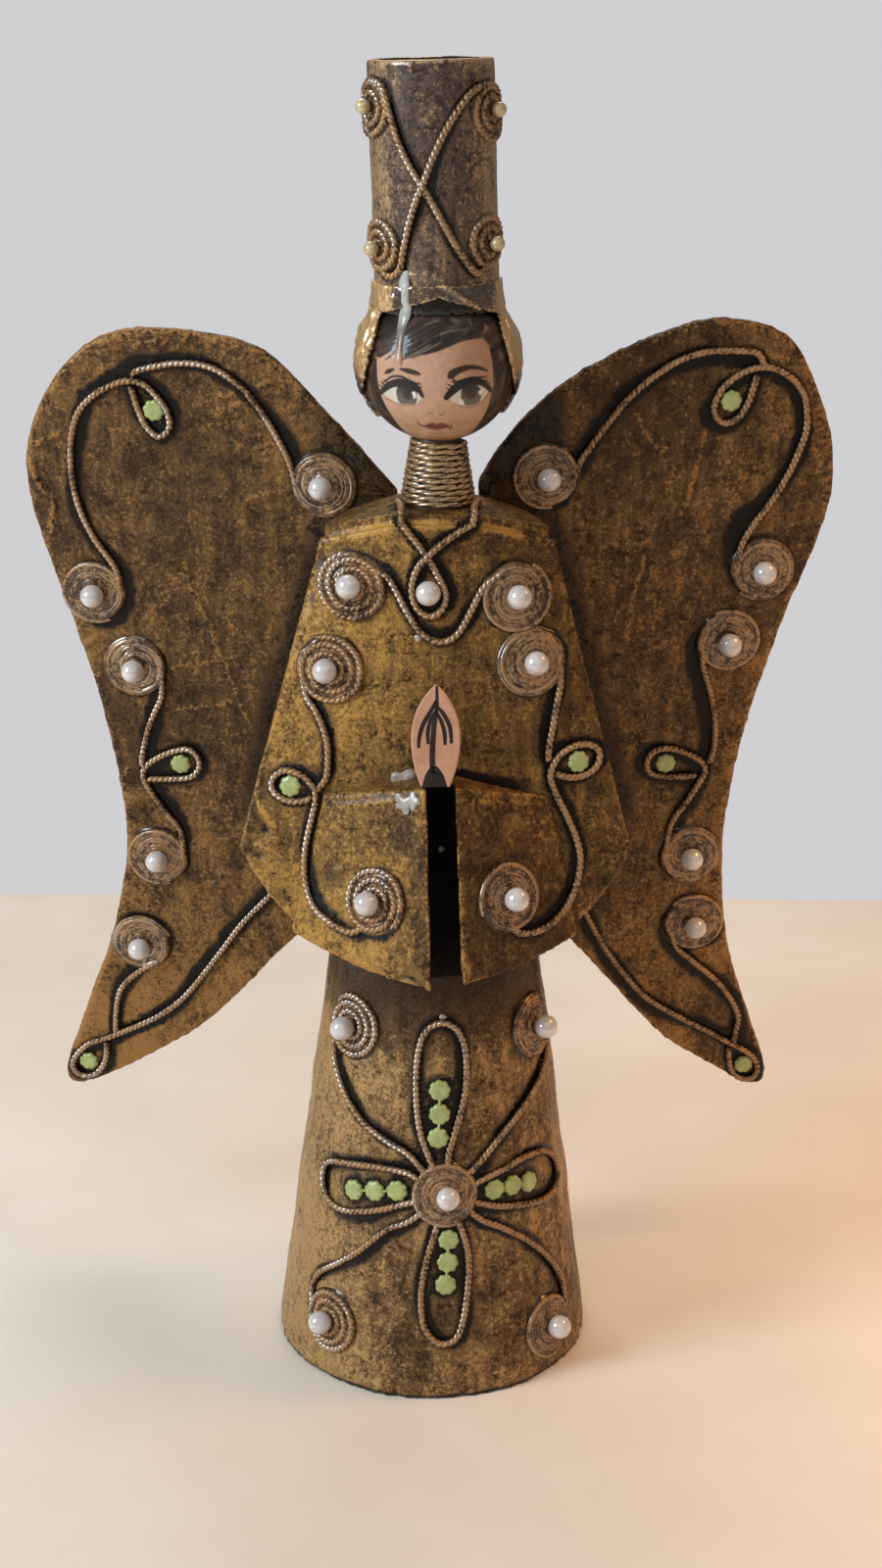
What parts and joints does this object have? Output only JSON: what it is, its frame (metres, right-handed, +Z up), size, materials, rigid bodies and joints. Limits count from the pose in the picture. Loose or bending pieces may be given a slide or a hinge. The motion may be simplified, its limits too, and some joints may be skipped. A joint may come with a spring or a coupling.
{
  "type": "papier-mache angel figure",
  "caption": "Standing papier-mache angel with a cone skirt, flared robe, swept wings and a tall tube hat, decorated with scrolled cord, pearls and beads.",
  "frame": {"origin": "middle of the base on the plane it stands on", "axes": "+Z up the figure, -Y the way it faces, +X to the right as seen from its front"},
  "size_m": [0.2067, 0.1008, 0.3304],
  "materials": {
    "gilt_paper": "crinkled paper, antique gold under brown glaze and varnish",
    "bronze_paper": "crinkled paper, dark bronze with gold flecks under varnish",
    "raw_card": "plain card",
    "flesh_card": "painted flesh, varnished",
    "peg_wood": "plain turned wood",
    "painted_ball": "painted flesh with a painted face and hair, varnished",
    "cord": "twisted cord, gold and brown, varnished",
    "gilt_cord": "twisted cord, bright gold, varnished",
    "pearl": "pearly gloss",
    "bead": "pale green gloss"
  },
  "bodies": {
    "root": {"skirt_cone": "gilt_paper", "base_disc": "raw_card", "robe_front": "gilt_paper", "robe_back": "gilt_paper", "shoulder_cap": "gilt_paper", "left_sleeve": "gilt_paper", "right_sleeve": "gilt_paper", "praying_hands": "flesh_card", "neck_peg": "peg_wood", "neck_winding": "gilt_cord", "head_ball": "painted_ball", "hat_tube": "gilt_paper", "hood": "gilt_paper", "left_wing": "bronze_paper", "right_wing": "bronze_paper", "left_wing_crest_cord": "cord", "left_wing_rim_cord": "cord", "left_wing_upper_cord": "cord", "left_wing_lower_cord": "cord", "left_wing_tail_cord": "cord", "left_wing_tip_cord": "cord", "right_wing_crest_cord": "cord", "right_wing_rim_cord": "cord", "right_wing_upper_cord": "cord", "right_wing_lower_cord": "cord", "right_wing_tail_cord": "cord", "right_wing_tip_cord": "cord", "chest_cord": "cord", "collar_cord": "cord", "left_arm_cord": "cord", "left_sleeve_cord": "cord", "right_arm_cord": "cord", "right_sleeve_cord": "cord", "skirt_rosette_cord": "cord", "top_petal_cord": "cord", "left_petal_cord": "cord", "right_petal_cord": "cord", "bottom_petal_cord": "cord", "upper_left_scroll_cord": "cord", "upper_right_scroll_cord": "cord", "lower_left_scroll_cord": "cord", "lower_right_scroll_cord": "cord", "hat_left_cord": "cord", "hat_right_cord": "cord", "left_wing_pearls": "pearl", "right_wing_pearls": "pearl", "robe_pearls": "pearl", "skirt_pearls": "pearl", "hat_pearls": "pearl", "left_wing_beads": "bead", "right_wing_beads": "bead", "robe_beads": "bead", "skirt_beads": "bead"}
  },
  "joints": []
}
